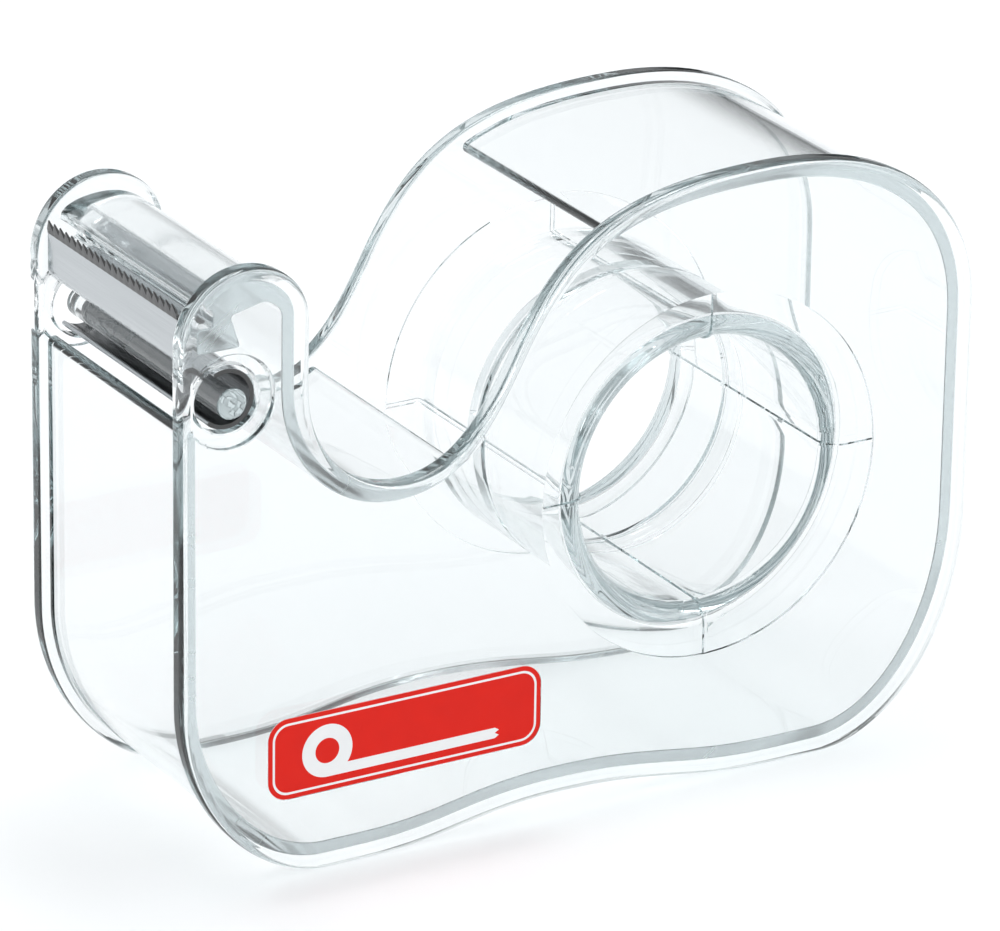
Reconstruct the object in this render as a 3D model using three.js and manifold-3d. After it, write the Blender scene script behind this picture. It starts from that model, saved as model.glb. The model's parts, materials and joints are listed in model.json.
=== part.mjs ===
// A small clear hand dispenser for rolls of sticky tape.
// Two snap-together shells carry the roll on a hollow hub, and a steel cutter is pivoted in the nose.
// Units are millimetres. X runs along the dispenser, nose at -X; Y across it, cover at -Y; Z up.
// The origin is on the resting plane, under the middle of the outer box.

import * as THREE from 'three';
import { mergeVertices } from 'three/addons/utils/BufferGeometryUtils.js';
import Module from 'manifold-3d';

const wasm = await Module();
wasm.setup();

// ---- Overall sizes ----
const LENGTH = 67.8;
const WIDTH = 24.3;
const HEIGHT = 48.8;

// ---- Shell walls ----
const PLATE = 1.8;              // thickness of each side plate
const PLATE_ROUND = 0.5;        // rounding of a plate's outer edge
const WALL = 1.0;               // thickness of the wall between the plates
const WALL_INSET = 0.75;        // how far the plates stand proud of that wall
const JOINT_GAP = 0.3;          // clearance between separate pieces
const MERGE = 0.4;              // how deep joined volumes run into each other

// ---- Side outline ----
const FRONT_CORNER = 15.0;      // height at which the straight front edge starts
const FRONT_FOOT = 13.9;        // middle of the front foot behind the front edge
const FOOT_LENGTH = 3.0;        // flat stretch of a foot
const ARCH_RISE = 1.7;          // height of the hollow between the feet
const REAR_FOOT = 14.3;         // middle of the rear foot ahead of the rear edge
const REAR_CORNER_LOW = 18.0;   // height at which the straight rear edge starts
const REAR_CORNER_HIGH = 14.8;  // drop from the top to the end of the rear edge
const CROWN_FROM_REAR = 18.4;   // highest point of the back, ahead of the rear edge
const NOSE_LENGTH = 10.5;
const NOSE_TOP_FROM_FRONT = 5.4;
const NOSE_DROP = 0.4;          // nose top below the highest point
const NOSE_FRONT_CORNER = 5.6;
const NOSE_REAR_CORNER = 4.6;
const THROAT_FROM_NOSE = 7.9;   // lowest point of the finger gap behind the nose
const THROAT_DEPTH = 19.3;      // its depth below the highest point
const THROAT_CORNER = 8.5;      // height of its rounding at the nose side
const FLANK_FROM_THROAT = 9.5;  // steepest point between finger gap and back
const FLANK_RISE = 8.4;
const FLANK_ANGLE = THREE.MathUtils.degToRad(62);

// ---- How far a bend hugs its corner, as a share of its span ----
const SOFT_PULL = 0.52;
const ROUND_PULL = 0.55;
const FULL_PULL = 0.62;
const WAVE_PULL = 0.45;
const CROWN_PULL = 0.6;
const FLANK_PULL = 0.36;
const THROAT_PULL = 0.39;

// ---- Roll hub ----
const HUB_FROM_REAR = 23.4;
const HUB_HEIGHT = 25.1;
const HUB_BORE = 10.6;          // inner radius of the sleeve
const HUB_WALL = 1.7;
const HUB_MOUTH = 1.6;          // rounding from plate face into the sleeve
const HUB_RING = 14.5;          // radius of the shallow step round the mouth
const HUB_STEP = 0.2;           // depth of that step
const RIB_WIDTH = 0.4;
const RIB_COUNT = 4;
const SLEEVE_JOINT = 13.2;      // cover's sleeve length, from the cover's face
const SPIGOT_LENGTH = 1.8;
const SPIGOT_WALL = 0.75;

// ---- Openings in the wall ----
const ROOF_EDGE = 8.6;          // front edge of the roof, ahead of the hub's axis
const WEB_END = 3.9;            // rear edge of the finger web, behind the throat's lowest point
const FRONT_WALL_TOP = 12.8;    // top of the front wall, below the highest point

// ---- Nose: pivot, tape guide and cutter ----
const PIVOT_FROM_FRONT = 3.9;
const PIVOT_DROP = 10.2;        // pivot below the highest point
const PIVOT_HOLE = 2.6;
const PIVOT_SINK = 3.6;         // radius of the sunk ring round the pivot hole
const PIVOT_SINK_DEPTH = 0.6;
const GUIDE_INSET = 1.3;        // tape guide below the nose outline
const GUIDE_WALL = 1.8;
const GUIDE_LIP = 1.9;          // guide's lip behind the front edge
const LEG_DEPTH = 3.0;          // depth of the block behind the cutter's face
const LEG_FOOT = 3.5;           // its foot above the pivot
const SLOT_FLOOR = 5.4;         // slot for the cutter's tab, above the pivot
const SLOT_HEIGHT = 1.4;
const SLOT_DEPTH = 1.3;
const STEEL = 0.35;             // sheet thickness
const TAB_HEIGHT = 6.2;         // cutter's tab above the pivot
const TAB_LENGTH = 1.5;
const TAB_START = 4.0;          // tab's end, in from the far end of the teeth
const FACE_FROM_PIVOT = 3.05;   // cutter's face ahead of the pivot
const FACE_FOOT = 3.0;          // bend at the foot of the face, above the pivot
const TOOTH_HEIGHT = 1.1;
const TOOTH_ROOT = 0.37;        // height of the notches between the teeth
const TOOTH_COUNT = 22;
const JOURNAL_LENGTH = 1.0;     // how far the rolled barrel runs into each plate
const BARREL_START = THREE.MathUtils.degToRad(112);
const BARREL_END = THREE.MathUtils.degToRad(-128);
const ROD_RADIUS = 1.2;
const ROD_INSET = 0.35;         // rod's end below the plate's face

// ---- Label ----
const LABEL_LENGTH = 23.0;
const LABEL_HEIGHT = 6.4;
const LABEL_FROM_FRONT = 18.5;  // its middle behind the front edge
const LABEL_MIDDLE = 9.7;       // its middle above the table
const LABEL_CORNER = 1.6;
const LABEL_THICK = 0.15;

// ---- Fineness of the curves ----
const BEND_STEPS = 9;
const ROUND_STEPS = 48;
const SMALL_ROUND_STEPS = 32;
const RIM_STEPS = 2;
const CROSSING_TOLERANCE = 1e-9;
const MERGE_TOLERANCE = 1e-4;
const OVERCUT = 1.0;            // how far a cutting volume runs past the face it opens

// ---- Places worked out from the sizes ----
const FRONT = -LENGTH / 2;
const REAR = LENGTH / 2;
const COVER_FACE = -WIDTH / 2;
const COVER_INNER = COVER_FACE + PLATE;
const FAR_FACE = WIDTH / 2;
const FAR_INNER = FAR_FACE - PLATE;
const HUB_X = REAR - HUB_FROM_REAR;
const NOSE_REAR = FRONT + NOSE_LENGTH;
const NOSE_TOP = HEIGHT - NOSE_DROP;
const THROAT_X = NOSE_REAR + THROAT_FROM_NOSE;
const THROAT_Z = HEIGHT - THROAT_DEPTH;
const PIVOT_X = FRONT + PIVOT_FROM_FRONT;
const PIVOT_Z = HEIGHT - PIVOT_DROP;
const SLEEVE_RADIUS = HUB_BORE + HUB_WALL;
const SPIGOT_RADIUS = HUB_BORE + SPIGOT_WALL;
const SOCKET_RADIUS = SPIGOT_RADIUS + JOINT_GAP;
const BARREL_RADIUS = PIVOT_HOLE - JOINT_GAP;

// ---- Helpers ----

// A closed geometry becomes a solid for joining and cutting, turned right side out if need be.
function solid(geometry) {
  const plain = geometry.clone();
  plain.deleteAttribute('normal');
  plain.deleteAttribute('uv');
  const merged = mergeVertices(plain, MERGE_TOLERANCE);
  const position = merged.attributes.position;
  const triangles = Array.from(merged.index.array);
  const a = new THREE.Vector3();
  const b = new THREE.Vector3();
  const c = new THREE.Vector3();
  let volume = 0;
  for (let i = 0; i < triangles.length; i += 3) {
    a.fromBufferAttribute(position, triangles[i]);
    b.fromBufferAttribute(position, triangles[i + 1]);
    c.fromBufferAttribute(position, triangles[i + 2]);
    volume += a.dot(b.cross(c));
  }
  if (volume < 0) {
    triangles.reverse();
  }
  const vertProperties = new Float32Array(position.array);
  const triVerts = new Uint32Array(triangles);
  return new wasm.Manifold(new wasm.Mesh({ numProp: 3, vertProperties, triVerts }));
}

// A solid becomes a named mesh with its own material.
function piece(name, shape, look) {
  const mesh = shape.getMesh();
  const geometry = new THREE.BufferGeometry();
  geometry.setAttribute('position', new THREE.BufferAttribute(mesh.vertProperties, 3));
  geometry.setIndex(new THREE.BufferAttribute(mesh.triVerts, 1));
  geometry.computeVertexNormals();
  const result = new THREE.Mesh(geometry, new THREE.MeshStandardMaterial(look));
  result.name = name;
  return result;
}

// A side-view shape stands between two places across the dispenser, with rounded rims if asked.
function slab(shape, yLow, yHigh, round = 0) {
  const geometry = new THREE.ExtrudeGeometry(shape, {
    depth: yHigh - yLow - 2 * round,
    bevelEnabled: round > 0,
    bevelThickness: round,
    bevelSize: round,
    bevelOffset: -round,
    bevelSegments: RIM_STEPS,
    curveSegments: BEND_STEPS,
  });
  geometry.translate(0, 0, round);
  geometry.rotateX(Math.PI / 2);
  geometry.translate(0, yHigh, 0);
  return solid(geometry);
}

// A round bar or hole lies across the dispenser.
function bar(radius, x, z, yLow, yHigh, steps) {
  const geometry = new THREE.CylinderGeometry(radius, radius, yHigh - yLow, steps);
  geometry.translate(x, (yLow + yHigh) / 2, z);
  return solid(geometry);
}

// A side-view polygon through the given corners.
function polygon(corners) {
  const points = corners.map(([x, z]) => new THREE.Vector2(x, z));
  return new THREE.Shape(points);
}

// A curved corner between a level and an upright direction; pulls say how far it hugs the corner.
function corner(path, x, z, startUpright, pull = ROUND_PULL) {
  const from = path.currentPoint;
  const spanX = x - from.x;
  const spanZ = z - from.y;
  if (startUpright) {
    path.bezierCurveTo(from.x, from.y + pull * spanZ, x - pull * spanX, z, x, z);
  } else {
    path.bezierCurveTo(from.x + pull * spanX, from.y, x, z - pull * spanZ, x, z);
  }
}

// A gentle step between two level directions.
function wave(path, x, z) {
  const from = path.currentPoint;
  const pull = WAVE_PULL * (x - from.x);
  path.bezierCurveTo(from.x + pull, from.y, x - pull, z, x, z);
}

// ---- Side outline of both shells ----
// It runs from the roof's front edge forwards over the finger gap, nose, feet and back.

function sideOutline() {
  const crownX = REAR - CROWN_FROM_REAR;
  const flankX = THROAT_X + FLANK_FROM_THROAT;
  const flankZ = THROAT_Z + FLANK_RISE;
  const noseTopX = FRONT + NOSE_TOP_FROM_FRONT;
  const frontFootX = FRONT + FRONT_FOOT;
  const rearFootX = REAR - REAR_FOOT;
  const halfFoot = FOOT_LENGTH / 2;
  const archX = (frontFootX + rearFootX) / 2 - halfFoot;
  const slopeX = Math.cos(FLANK_ANGLE);
  const slopeZ = Math.sin(FLANK_ANGLE);
  const crownPull = CROWN_PULL * (crownX - flankX);
  const flankPull = FLANK_PULL * Math.hypot(crownX - flankX, HEIGHT - flankZ);
  const lowerPull = THROAT_PULL * Math.hypot(flankX - THROAT_X, flankZ - THROAT_Z);
  const path = new THREE.Shape();
  path.moveTo(crownX, HEIGHT);
  path.bezierCurveTo(crownX - crownPull, HEIGHT, flankX + flankPull * slopeX,
    flankZ + flankPull * slopeZ, flankX, flankZ);
  path.bezierCurveTo(flankX - lowerPull * slopeX, flankZ - lowerPull * slopeZ,
    THROAT_X + lowerPull, THROAT_Z, THROAT_X, THROAT_Z);
  corner(path, NOSE_REAR, THROAT_Z + THROAT_CORNER, false);
  path.lineTo(NOSE_REAR, NOSE_TOP - NOSE_REAR_CORNER);
  corner(path, noseTopX, NOSE_TOP, true);
  corner(path, FRONT, NOSE_TOP - NOSE_FRONT_CORNER, false);
  path.lineTo(FRONT, FRONT_CORNER);
  corner(path, frontFootX - halfFoot, 0, true, SOFT_PULL);
  path.lineTo(frontFootX + halfFoot, 0);
  wave(path, archX, ARCH_RISE);
  wave(path, rearFootX - halfFoot, 0);
  path.lineTo(rearFootX + halfFoot, 0);
  corner(path, REAR, REAR_CORNER_LOW, false);
  path.lineTo(REAR, HEIGHT - REAR_CORNER_HIGH);
  corner(path, crownX, HEIGHT, true, FULL_PULL);
  return path;
}

const OUTLINE = sideOutline();

// Where some of the outline's curves come in its order.
const CROWN_CURVE = 0;
const THROAT_CURVE = 1;
const NOSE_REAR_CURVE = 3;
const FRONT_CURVE = 6;

// The place where one of the outline's curves crosses a given x or y of the side view.
function crossing(index, axis, value) {
  const curve = OUTLINE.curves[index];
  const rising = curve.getPoint(1)[axis] > curve.getPoint(0)[axis];
  let low = 0;
  let high = 1;
  while (high - low > CROSSING_TOLERANCE) {
    const middle = (low + high) / 2;
    if ((curve.getPoint(middle)[axis] < value) === rising) {
      low = middle;
    } else {
      high = middle;
    }
  }
  return { curve: index, t: (low + high) / 2 };
}

// A strip of wall follows the outline from one curve place to another, inset from it.
function wallStrip(start, end) {
  const outer = [];
  const inner = [];
  const count = OUTLINE.curves.length;
  const turns = (end.curve - start.curve + count) % count;
  for (let k = 0; k <= turns; k += 1) {
    const curve = OUTLINE.curves[(start.curve + k) % count];
    const low = k === 0 ? start.t : 0;
    const high = k === turns ? end.t : 1;
    const steps = curve.isLineCurve ? 1 : BEND_STEPS;
    for (let i = k === 0 ? 0 : 1; i <= steps; i += 1) {
      const t = low + ((high - low) * i) / steps;
      const point = curve.getPoint(t);
      const along = curve.getTangent(t);
      const inward = new THREE.Vector2(-along.y, along.x);
      outer.push(point.clone().addScaledVector(inward, WALL_INSET));
      inner.push(point.clone().addScaledVector(inward, WALL_INSET + WALL));
    }
  }
  const shape = new THREE.Shape([...outer, ...inner.reverse()]);
  return slab(shape, COVER_INNER + JOINT_GAP, FAR_INNER + MERGE);
}

// ---- Hub ----

// What is cut away inside a hub: a bell mouth on the plate's face that leads into the bore.
function hubCutter(bore, ringRadius, ringDepth, face, inwards) {
  const profile = [[0, -OVERCUT], [ringRadius, -OVERCUT], [ringRadius, ringDepth]];
  for (let i = 0; i <= BEND_STEPS; i += 1) {
    const angle = (i / BEND_STEPS) * (Math.PI / 2);
    const radius = bore + HUB_MOUTH * (1 - Math.sin(angle));
    profile.push([radius, ringDepth + HUB_MOUTH * (1 - Math.cos(angle))]);
  }
  profile.push([bore, WIDTH], [0, WIDTH]);
  const points = profile.map(([radius, depth]) => new THREE.Vector2(radius, face + inwards * depth));
  const geometry = new THREE.LatheGeometry(points, ROUND_STEPS);
  geometry.translate(HUB_X, 0, HUB_HEIGHT);
  return solid(geometry);
}

// Thin ribs stand in the mouth and run along the bore, a quarter turn apart.
function hubRibs() {
  let ribs = null;
  for (let i = 0; i < RIB_COUNT / 2; i += 1) {
    const geometry = new THREE.BoxGeometry(2 * HUB_RING, 2 * WIDTH, RIB_WIDTH);
    geometry.rotateY((i * 2 * Math.PI) / RIB_COUNT);
    geometry.translate(HUB_X, 0, HUB_HEIGHT);
    ribs = ribs ? ribs.add(solid(geometry)) : solid(geometry);
  }
  return ribs;
}

// Both cutters: the outer one leaves the ribs, and the inner one trims them to their height.
function openHub(shape, face, inwards) {
  const wide = hubCutter(HUB_BORE, HUB_RING, HUB_STEP, face, inwards).subtract(hubRibs());
  const narrow = hubCutter(HUB_BORE - HUB_STEP, HUB_RING - HUB_STEP, 0, face, inwards);
  return shape.subtract(wide).subtract(narrow);
}

// ---- Pivot holes ----

function openPivot(shape, yLow, yHigh) {
  const hole = bar(PIVOT_HOLE, PIVOT_X, PIVOT_Z, yLow - OVERCUT, yHigh + OVERCUT, SMALL_ROUND_STEPS);
  const onCover = yLow < 0;
  const sinkLow = onCover ? yLow - OVERCUT : yHigh - PIVOT_SINK_DEPTH;
  const sinkHigh = onCover ? yLow + PIVOT_SINK_DEPTH : yHigh + OVERCUT;
  const sink = bar(PIVOT_SINK, PIVOT_X, PIVOT_Z, sinkLow, sinkHigh, SMALL_ROUND_STEPS);
  return shape.subtract(hole).subtract(sink);
}

// ---- Tape guide ----
// A rounded arch over the nose with a lip at the front, and a block that backs the cutter.

function tapeGuide() {
  const lipX = FRONT + GUIDE_LIP;
  const topX = FRONT + NOSE_TOP_FROM_FRONT;
  const topZ = NOSE_TOP - GUIDE_INSET;
  const slotFloor = PIVOT_Z + SLOT_FLOOR;
  const slotRoof = slotFloor + SLOT_HEIGHT;
  const slotEnd = lipX + SLOT_DEPTH;
  const rearOuter = NOSE_REAR - WALL_INSET;
  const rearInner = rearOuter - WALL;
  const shoulder = NOSE_TOP - NOSE_REAR_CORNER;
  const legFoot = PIVOT_Z + LEG_FOOT;
  const legRear = lipX + LEG_DEPTH;
  const shape = new THREE.Shape();
  shape.moveTo(slotEnd, slotRoof);
  shape.lineTo(lipX, slotRoof);
  shape.lineTo(lipX, slotRoof + STEEL);
  corner(shape, topX, topZ, true);
  corner(shape, rearOuter, shoulder, false);
  shape.lineTo(rearOuter, shoulder - MERGE);
  shape.lineTo(rearInner, shoulder - MERGE);
  corner(shape, topX + GUIDE_WALL, topZ - GUIDE_WALL, true);
  shape.lineTo(legRear, topZ - GUIDE_WALL - STEEL);
  shape.lineTo(legRear, legFoot);
  shape.lineTo(lipX, legFoot);
  shape.lineTo(lipX, slotFloor);
  shape.lineTo(slotEnd, slotFloor);
  shape.closePath();
  return slab(shape, COVER_INNER + JOINT_GAP, FAR_INNER + MERGE);
}

// ---- Shells ----

function bodyShell() {
  const roofX = HUB_X - ROOF_EDGE;
  const webX = THROAT_X + WEB_END;
  const frontZ = HEIGHT - FRONT_WALL_TOP;
  const roofPlace = crossing(CROWN_CURVE, 'x', roofX);
  const webPlace = crossing(THROAT_CURVE, 'x', webX);
  const nosePlace = { curve: NOSE_REAR_CURVE, t: 1 };
  const frontPlace = crossing(FRONT_CURVE, 'y', frontZ);
  const shell = slab(OUTLINE, FAR_INNER, FAR_FACE, PLATE_ROUND)
    .add(wallStrip(webPlace, nosePlace))
    .add(wallStrip(frontPlace, roofPlace))
    .add(tapeGuide());
  const sleeveEnd = COVER_FACE + SLEEVE_JOINT + JOINT_GAP;
  const socketEnd = sleeveEnd + SPIGOT_LENGTH;
  const sleeve = bar(SLEEVE_RADIUS, HUB_X, HUB_HEIGHT, sleeveEnd, FAR_INNER + MERGE, ROUND_STEPS);
  const socket = bar(SOCKET_RADIUS, HUB_X, HUB_HEIGHT, sleeveEnd - OVERCUT, socketEnd, ROUND_STEPS);
  const withHub = openHub(shell.add(sleeve.subtract(socket)), FAR_FACE, -1);
  return openPivot(withHub, FAR_INNER, FAR_FACE);
}

function labelShape(grow) {
  const halfX = LABEL_LENGTH / 2 + grow;
  const halfZ = LABEL_HEIGHT / 2 + grow;
  const x = FRONT + LABEL_FROM_FRONT;
  const z = LABEL_MIDDLE;
  const round = LABEL_CORNER + grow;
  const shape = new THREE.Shape();
  shape.moveTo(x - halfX + round, z - halfZ);
  shape.lineTo(x + halfX - round, z - halfZ);
  shape.absarc(x + halfX - round, z - halfZ + round, round, -Math.PI / 2, 0);
  shape.lineTo(x + halfX, z + halfZ - round);
  shape.absarc(x + halfX - round, z + halfZ - round, round, 0, Math.PI / 2);
  shape.lineTo(x - halfX + round, z + halfZ);
  shape.absarc(x - halfX + round, z + halfZ - round, round, Math.PI / 2, Math.PI);
  shape.lineTo(x - halfX, z - halfZ + round);
  shape.absarc(x - halfX + round, z - halfZ + round, round, Math.PI, 1.5 * Math.PI);
  return shape;
}

function sideCover() {
  const sleeveEnd = COVER_FACE + SLEEVE_JOINT;
  const sleeve = bar(SLEEVE_RADIUS, HUB_X, HUB_HEIGHT, COVER_INNER - MERGE, sleeveEnd, ROUND_STEPS);
  const spigotEnd = sleeveEnd + SPIGOT_LENGTH;
  const spigot = bar(SPIGOT_RADIUS, HUB_X, HUB_HEIGHT, sleeveEnd - MERGE, spigotEnd, ROUND_STEPS);
  const blank = slab(OUTLINE, COVER_FACE, COVER_INNER, PLATE_ROUND).add(sleeve).add(spigot);
  const withHub = openHub(blank, COVER_FACE, 1);
  const pocketDepth = LABEL_THICK + JOINT_GAP;
  const pocket = slab(labelShape(JOINT_GAP), COVER_FACE - OVERCUT, COVER_FACE + pocketDepth);
  return openPivot(withHub, COVER_FACE, COVER_INNER).subtract(pocket);
}

function label() {
  return slab(labelShape(0), COVER_FACE, COVER_FACE + LABEL_THICK);
}

// ---- Cutter ----

// A strip of sheet steel follows a side-view line, half its thickness to each side.
function sheetStrip(line, yLow, yHigh) {
  const left = [];
  const right = [];
  line.forEach((point, i) => {
    const before = line[Math.max(i - 1, 0)];
    const after = line[Math.min(i + 1, line.length - 1)];
    const first = point.clone().sub(before).normalize();
    const second = after.clone().sub(point).normalize();
    const along = first.add(second).normalize();
    const ahead = i === 0 ? second : point.clone().sub(before).normalize();
    const spread = STEEL / 2 / Math.max(along.dot(ahead), 0.5);
    const side = new THREE.Vector2(-along.y, along.x).multiplyScalar(spread);
    left.push(point.clone().add(side));
    right.push(point.clone().sub(side));
  });
  return slab(new THREE.Shape([...left, ...right.reverse()]), yLow, yHigh);
}

// The barrel is rolled round the pivot and stays open towards the front.
function barrelLine() {
  const points = [];
  const radius = BARREL_RADIUS - STEEL / 2;
  const steps = SMALL_ROUND_STEPS / 2;
  for (let i = 0; i <= steps; i += 1) {
    const angle = BARREL_START + ((BARREL_END - BARREL_START) * i) / steps;
    points.push(new THREE.Vector2(PIVOT_X + radius * Math.cos(angle), PIVOT_Z + radius * Math.sin(angle)));
  }
  return points;
}

function cutterBlade() {
  const yLow = COVER_INNER + JOINT_GAP;
  const yHigh = FAR_INNER - JOINT_GAP;
  const faceX = PIVOT_X - FACE_FROM_PIVOT;
  const tabZ = PIVOT_Z + TAB_HEIGHT;
  const footZ = PIVOT_Z + FACE_FOOT;
  const barrel = barrelLine();
  const bend = new THREE.Vector2(faceX + STEEL / 2, footZ);
  const upper = [
    new THREE.Vector2(faceX, tabZ),
    new THREE.Vector2(faceX, footZ + STEEL),
    bend,
    ...barrel,
  ];
  const tab = polygon([
    [faceX, tabZ - STEEL], [faceX + TAB_LENGTH, tabZ - STEEL],
    [faceX + TAB_LENGTH, tabZ], [faceX, tabZ],
  ]);
  const rolled = sheetStrip(barrel, yLow - JOINT_GAP - JOURNAL_LENGTH, yHigh + JOINT_GAP + JOURNAL_LENGTH);
  return sheetStrip(upper, yLow, yHigh)
    .add(slab(tab, yLow, yHigh - TAB_START))
    .add(rolled)
    .add(cutterTeeth(faceX, tabZ, yLow, yHigh));
}

// The teeth stand in a row along the top edge, leaning a little forwards.
function cutterTeeth(faceX, tabZ, yLow, yHigh) {
  const pitch = (yHigh - yLow) / TOOTH_COUNT;
  const shape = new THREE.Shape();
  shape.moveTo(yLow, 0);
  for (let i = 0; i < TOOTH_COUNT; i += 1) {
    shape.lineTo(yLow + i * pitch, TOOTH_ROOT);
    shape.lineTo(yLow + (i + 0.5) * pitch, TOOTH_HEIGHT);
  }
  shape.lineTo(yHigh, TOOTH_ROOT);
  shape.lineTo(yHigh, 0);
  shape.closePath();
  const geometry = new THREE.ExtrudeGeometry(shape, { depth: STEEL, bevelEnabled: false });
  geometry.rotateX(Math.PI / 2);
  geometry.rotateZ(Math.PI / 2);
  geometry.translate(faceX + STEEL / 2, 0, tabZ - STEEL / 2);
  return solid(geometry);
}

// A clear rod lies in the barrel, low and towards the rear.
function cutterRod() {
  const room = BARREL_RADIUS - STEEL - JOINT_GAP - ROD_RADIUS;
  const shift = room / Math.SQRT2;
  const yLow = COVER_FACE + ROD_INSET;
  const yHigh = FAR_FACE - ROD_INSET;
  return bar(ROD_RADIUS, PIVOT_X + shift, PIVOT_Z - shift, yLow, yHigh, SMALL_ROUND_STEPS);
}

// ---- The whole dispenser ----

const CLEAR = { color: 0xdfe8ea, roughness: 0.05, metalness: 0, transparent: true, opacity: 0.35 };
const BRIGHT_STEEL = { color: 0xb9bec4, roughness: 0.22, metalness: 1 };
const RED_PRINT = { color: 0xd01f12, roughness: 0.35, metalness: 0 };

const dispenser = new THREE.Group();
dispenser.add(piece('body_shell', bodyShell(), CLEAR));
dispenser.add(piece('side_cover', sideCover(), CLEAR));
dispenser.add(piece('cutter_blade', cutterBlade(), BRIGHT_STEEL));
dispenser.add(piece('cutter_rod', cutterRod(), CLEAR));
dispenser.add(piece('label', label(), RED_PRINT));

export default dispenser;
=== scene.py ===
import json
from math import cos, pi, radians, sin

import bmesh
import bpy
import numpy as np
from mathutils import Matrix, Vector
from mathutils.geometry import tessellate_polygon


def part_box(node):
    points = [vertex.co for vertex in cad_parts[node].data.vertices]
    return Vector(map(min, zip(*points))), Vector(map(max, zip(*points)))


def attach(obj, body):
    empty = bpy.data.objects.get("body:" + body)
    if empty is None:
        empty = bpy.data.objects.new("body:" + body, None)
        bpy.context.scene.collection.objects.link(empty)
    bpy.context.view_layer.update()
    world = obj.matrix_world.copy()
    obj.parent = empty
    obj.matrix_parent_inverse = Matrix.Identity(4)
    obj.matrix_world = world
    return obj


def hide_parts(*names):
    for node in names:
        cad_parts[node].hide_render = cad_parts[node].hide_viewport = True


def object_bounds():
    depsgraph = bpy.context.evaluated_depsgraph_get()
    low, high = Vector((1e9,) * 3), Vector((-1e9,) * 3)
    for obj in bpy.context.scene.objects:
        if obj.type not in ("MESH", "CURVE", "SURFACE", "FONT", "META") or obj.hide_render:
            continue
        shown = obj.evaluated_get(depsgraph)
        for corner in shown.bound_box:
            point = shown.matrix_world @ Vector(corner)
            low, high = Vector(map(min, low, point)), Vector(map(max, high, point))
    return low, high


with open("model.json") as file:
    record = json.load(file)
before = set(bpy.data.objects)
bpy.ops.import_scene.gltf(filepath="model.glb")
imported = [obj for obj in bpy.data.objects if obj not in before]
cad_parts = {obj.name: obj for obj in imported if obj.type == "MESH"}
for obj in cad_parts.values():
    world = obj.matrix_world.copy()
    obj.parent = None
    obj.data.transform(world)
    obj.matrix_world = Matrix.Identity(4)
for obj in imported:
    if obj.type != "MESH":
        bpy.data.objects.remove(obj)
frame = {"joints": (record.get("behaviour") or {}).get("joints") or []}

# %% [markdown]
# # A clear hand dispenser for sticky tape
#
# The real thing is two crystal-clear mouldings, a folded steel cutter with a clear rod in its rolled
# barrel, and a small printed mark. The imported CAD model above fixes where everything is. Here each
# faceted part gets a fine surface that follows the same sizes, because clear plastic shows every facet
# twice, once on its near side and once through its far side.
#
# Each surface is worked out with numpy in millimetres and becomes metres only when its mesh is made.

cad_low, cad_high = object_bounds()
MM = 0.001


def in_mm(point):
    """A point of the frame, which is in metres, as an array in millimetres."""
    return np.array(point) / MM


low, high = in_mm(cad_low), in_mm(cad_high)
FRONT, REAR, HEIGHT = low[0], high[0], high[2]
COVER_FACE, FAR_FACE = low[1], high[1]
swing = next(joint for joint in frame["joints"] if joint["name"] == "cutter_swing")
PIVOT_X, _, PIVOT_Z = in_mm(swing["pos_m"])
print("box in mm", np.round(low, 2), np.round(high, 2), "pivot", PIVOT_X, PIVOT_Z)

# %% [markdown]
# ## Sizes of the mouldings
#
# A moulded shell is a side plate with a thin wall standing on it, a little inside its edge. The plates
# are nearly as thick as two walls, and their rims are rounded so that they feel smooth in the hand. The
# values are those of the CAD model, with three exceptions that don't change the outer box: the outer rims
# are rounder here, the label is thinner, and its pocket is shallower.

# %% Sizes in millimetres
PLATE = 1.8
RIM_OUT = 0.75
RIM_IN = 0.4
WALL = 1.0
WALL_INSET = 0.75
EDGE = 0.12
SHELL_GAP = 0.3

COVER_INNER = COVER_FACE + PLATE
FAR_INNER = FAR_FACE - PLATE

FOOT = 3.0
FRONT_FOOT_X = FRONT + 13.9
REAR_FOOT_X = REAR - 14.3
CROWN_X = REAR - 18.4
NOSE_REAR = FRONT + 10.5
NOSE_TOP_X = FRONT + 5.4
NOSE_TOP = HEIGHT - 0.4
THROAT_X = NOSE_REAR + 7.9
THROAT_Z = HEIGHT - 19.3
FLANK = np.array([THROAT_X + 9.5, THROAT_Z + 8.4])
FLANK_SLOPE = np.array([cos(radians(62)), sin(radians(62))])

HUB_X = REAR - 23.4
HUB_Z = 25.1
BORE = 10.6
SLEEVE = 12.3
MOUTH = 1.6
RING = 14.5
STEP = 0.2
RIB_HEIGHT = 0.16
RIB_HALF = 0.2
SLEEVE_JOINT = 13.2
SPIGOT = 11.35
SPIGOT_LENGTH = 1.8

print("hub axis", HUB_X, HUB_Z, "inner width", round(FAR_INNER - COVER_INNER, 2))

# %% [markdown]
# ## The side outline
#
# Seen from the side, the dispenser is one flowing line: a deep finger gap between the nose and the round
# back, and a shallow arch between two feet. A designer draws such a line with a few smooth curves, so it
# is kept here as a short list of cubic curves. A straight stretch is a cubic curve too, which lets
# one formula serve the whole line.

# %% Curves of the outline


def straight(a, b):
    """A straight stretch: its two inner control points lie at one and two thirds of the way."""
    a, b = np.array(a, float), np.array(b, float)
    return np.array([a, a + (b - a) / 3, b - (b - a) / 3, b])


def bend(a, b, upright, pull=0.55):
    """A rounded corner between an upright and a level direction; pull says how far it hugs the corner."""
    (ax, az), (bx, bz) = a, b
    if upright:
        return np.array([a, (ax, az + pull * (bz - az)), (bx - pull * (bx - ax), bz), b])
    return np.array([a, (ax + pull * (bx - ax), az), (bx, bz - pull * (bz - az)), b])


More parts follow.
